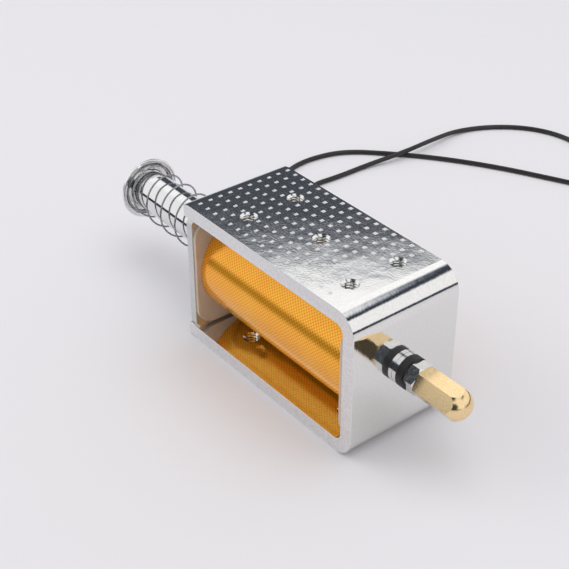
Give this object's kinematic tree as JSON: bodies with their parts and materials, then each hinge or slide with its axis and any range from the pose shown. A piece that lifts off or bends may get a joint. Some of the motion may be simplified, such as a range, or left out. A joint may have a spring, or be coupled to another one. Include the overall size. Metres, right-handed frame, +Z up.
{
  "type": "push pull solenoid",
  "caption": "Open-frame push pull solenoid: a coil in a folded steel frame pulls a sprung plunger that pushes a capped rod out of the front.",
  "frame": {"origin": "middle of the rectangle of screw holes in the bottom leg, on the bottom face", "axes": "+X along the plunger towards the push tip, +Z up from the bottom mounting face, leads leave on the +Y side"},
  "size_m": [0.1391, 0.1621, 0.0395],
  "materials": {
    "bright_plate": "bright nickel plate, fine drawn marks",
    "brass_tube": "drawn brass",
    "nylon": "natural nylon",
    "enamelled_copper": "enamelled copper wire",
    "orange_tape": "orange film tape with a fine weave",
    "sleeve": "insulating sleeve",
    "core_steel": "turned steel",
    "bush_plastic": "moulded bush",
    "spring_wire": "spring wire",
    "lead_cover": "black wire covering",
    "tinned_copper": "tinned copper strands",
    "polished_steel": "ground and plated steel",
    "rod_steel": "ground steel",
    "washer_steel": "plated steel",
    "rubber": "black rubber",
    "nut_steel": "bright plate",
    "nut_brass": "bare brass"
  },
  "bodies": {
    "frame": {"frame_bracket": "bright_plate", "end_plate": "bright_plate", "guide_tube": "brass_tube", "bobbin": "nylon", "coil_winding": "enamelled_copper", "coil_tape": "orange_tape", "splice_sleeves": "sleeve", "pole_core": "core_steel", "rod_bush": "bush_plastic", "residual_shim": "brass_tube", "return_spring": "spring_wire", "lead_wire_a": "lead_cover", "lead_wire_b": "lead_cover", "lead_tip_a": "tinned_copper", "lead_tip_b": "tinned_copper"},
    "cup": {"spring_cup": "bright_plate"},
    "plunger": {"plunger": "polished_steel", "push_rod": "rod_steel", "retaining_ring": "spring_wire", "rod_washers": "washer_steel", "rubber_washer": "rubber", "hex_nut": "nut_steel", "acorn_nut": "nut_brass"}
  },
  "joints": [
    {"name": "plunger_slide", "type": "slide", "parent": "frame", "child": "cup", "axis": [1, 0, 0], "range_m": [0, 0.01], "stiffness_N_per_m": 120, "springref_m": -0.012, "deforming": ["return_spring"]},
    {"name": "plunger_spin", "type": "hinge", "parent": "cup", "child": "plunger", "pos_m": [0, 0, 0.01975], "axis": [1, 0, 0], "continuous": true}
  ]
}
